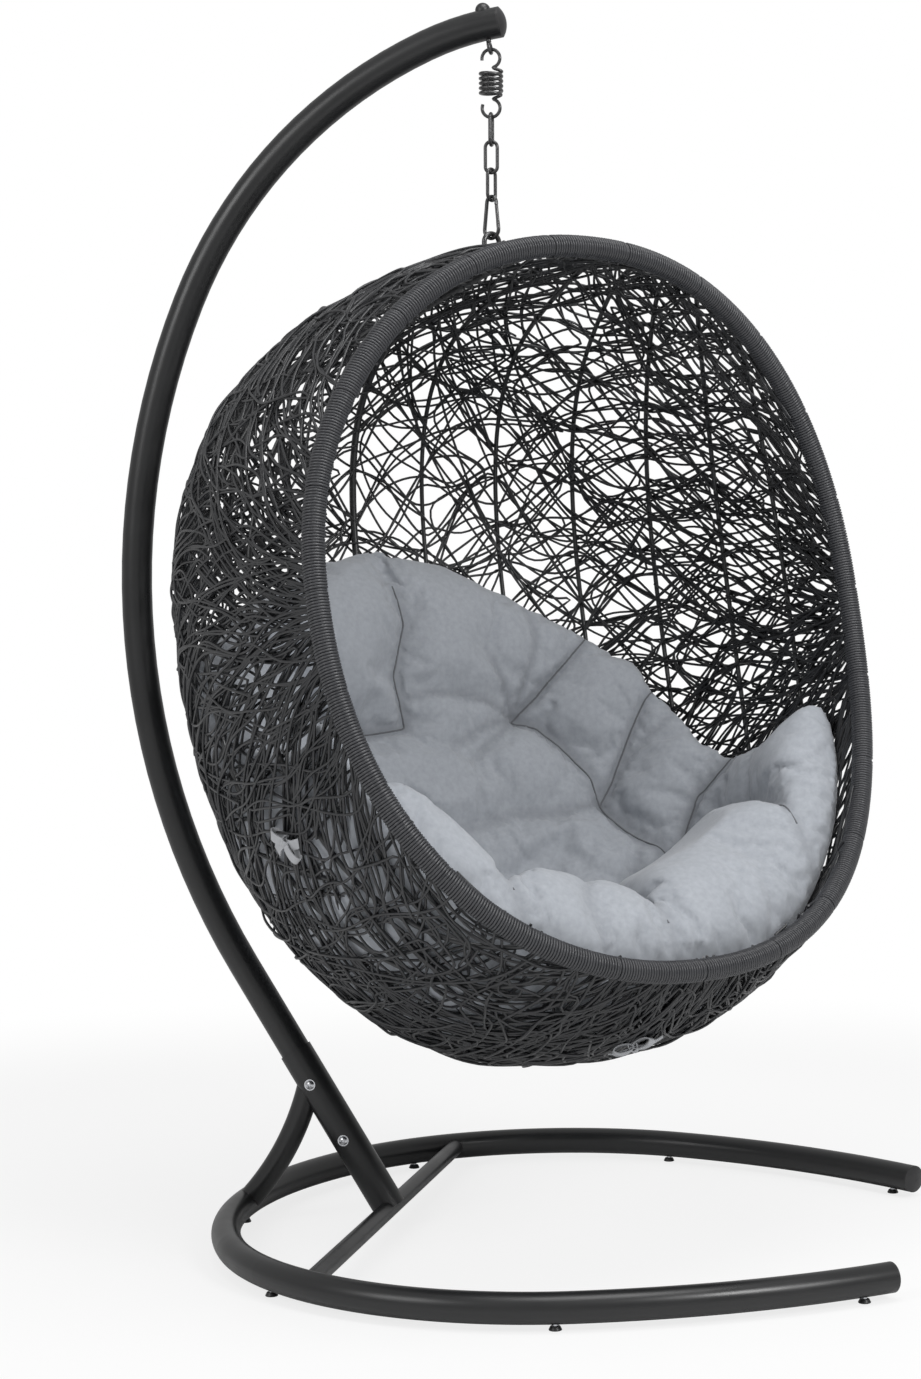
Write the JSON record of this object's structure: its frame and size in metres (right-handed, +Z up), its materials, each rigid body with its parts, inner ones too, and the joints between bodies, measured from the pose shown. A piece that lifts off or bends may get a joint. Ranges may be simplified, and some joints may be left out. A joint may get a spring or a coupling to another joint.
{
  "type": "hanging egg chair",
  "caption": "Egg-shaped woven basket seat with a tufted cushion, hung by a spring and chain from a curved mast on a floor hoop.",
  "frame": {"origin": "on the floor under the middle of the whole object's box; the stand's plane of symmetry is x = 0", "axes": "+Z up; the floor hoop opens towards -Y and the mast stands towards +Y"},
  "size_m": [1.1869, 1.2819, 1.9543],
  "materials": {
    "frame": "gloss",
    "basket_frame": "satin",
    "bright_steel": "satin",
    "black_plastic": "satin",
    "strand": "satin",
    "cloth": "woven"
  },
  "bodies": {
    "stand": {"hoop_rear_bow": "frame", "hoop_leg_left": "frame", "hoop_leg_right": "frame", "leg_end_plugs": "black_plastic", "foot_stems": "bright_steel", "foot_pads": "black_plastic", "hoop_cross_bar": "frame", "mast_sleeve": "frame", "rear_brace": "frame", "mast_tube": "frame", "mast_end_plug": "black_plastic", "mast_bolts": "bright_steel", "mast_bolt_washers": "bright_steel", "mast_bolt_nuts": "bright_steel", "eye_bolt": "frame", "eye_bolt_nut": "bright_steel", "eye_bolt_cap": "black_plastic"},
    "spring": {"spring": "frame"},
    "link_upper": {"chain_link_upper": "frame"},
    "link_middle": {"chain_link_middle": "frame"},
    "link_lower": {"chain_link_lower": "frame"},
    "snap_hook": {"snap_hook_body": "frame", "snap_hook_pin": "bright_steel"},
    "gate": {"snap_hook_gate": "frame"},
    "basket": {"basket_eye": "basket_frame", "rim_tube": "basket_frame", "rim_wrap": "strand", "basket_ribs": "basket_frame", "basket_spine": "basket_frame", "wicker_shell": "strand", "seat_cushion": "cloth", "cushion_ties": "cloth"}
  },
  "joints": [
    {"name": "fore_aft_swing", "type": "hinge", "parent": "stand", "child": "spring", "pos_m": [0, 0.02267, 1.87533], "axis": [1, 0, 0], "range_deg": [-20, 2]},
    {"name": "spring_stretch", "type": "slide", "parent": "spring", "child": "link_upper", "axis": [0, 0, -1], "range_m": [0, 0.03], "stiffness_N_per_m": 38000, "springref_m": -0.02, "deforming": ["spring"]},
    {"name": "side_swing", "type": "hinge", "parent": "link_upper", "child": "link_middle", "pos_m": [0, 0.02267, 1.73635], "axis": [0, 1, 0], "range_deg": [-15, 15]},
    {"name": "twist_upper", "type": "hinge", "parent": "link_middle", "child": "link_lower", "pos_m": [0, 0.02267, 1.68995], "axis": [0, 0, 1], "range_deg": [-7, 55]},
    {"name": "twist_lower", "type": "hinge", "parent": "link_lower", "child": "snap_hook", "pos_m": [0, 0.02267, 1.6466], "axis": [0, 0, 1], "range_deg": [-28, 30]},
    {"name": "snap_gate", "type": "hinge", "parent": "snap_hook", "child": "gate", "pos_m": [-0.00428, 0.01428, 1.63974], "axis": [0.891, -0.454, 0], "range_deg": [0, 20]},
    {"name": "basket_rock", "type": "hinge", "parent": "snap_hook", "child": "basket", "pos_m": [0, 0.02267, 1.5911], "axis": [-0.7202, 0.6938, 0], "range_deg": [-6, 6]}
  ]
}
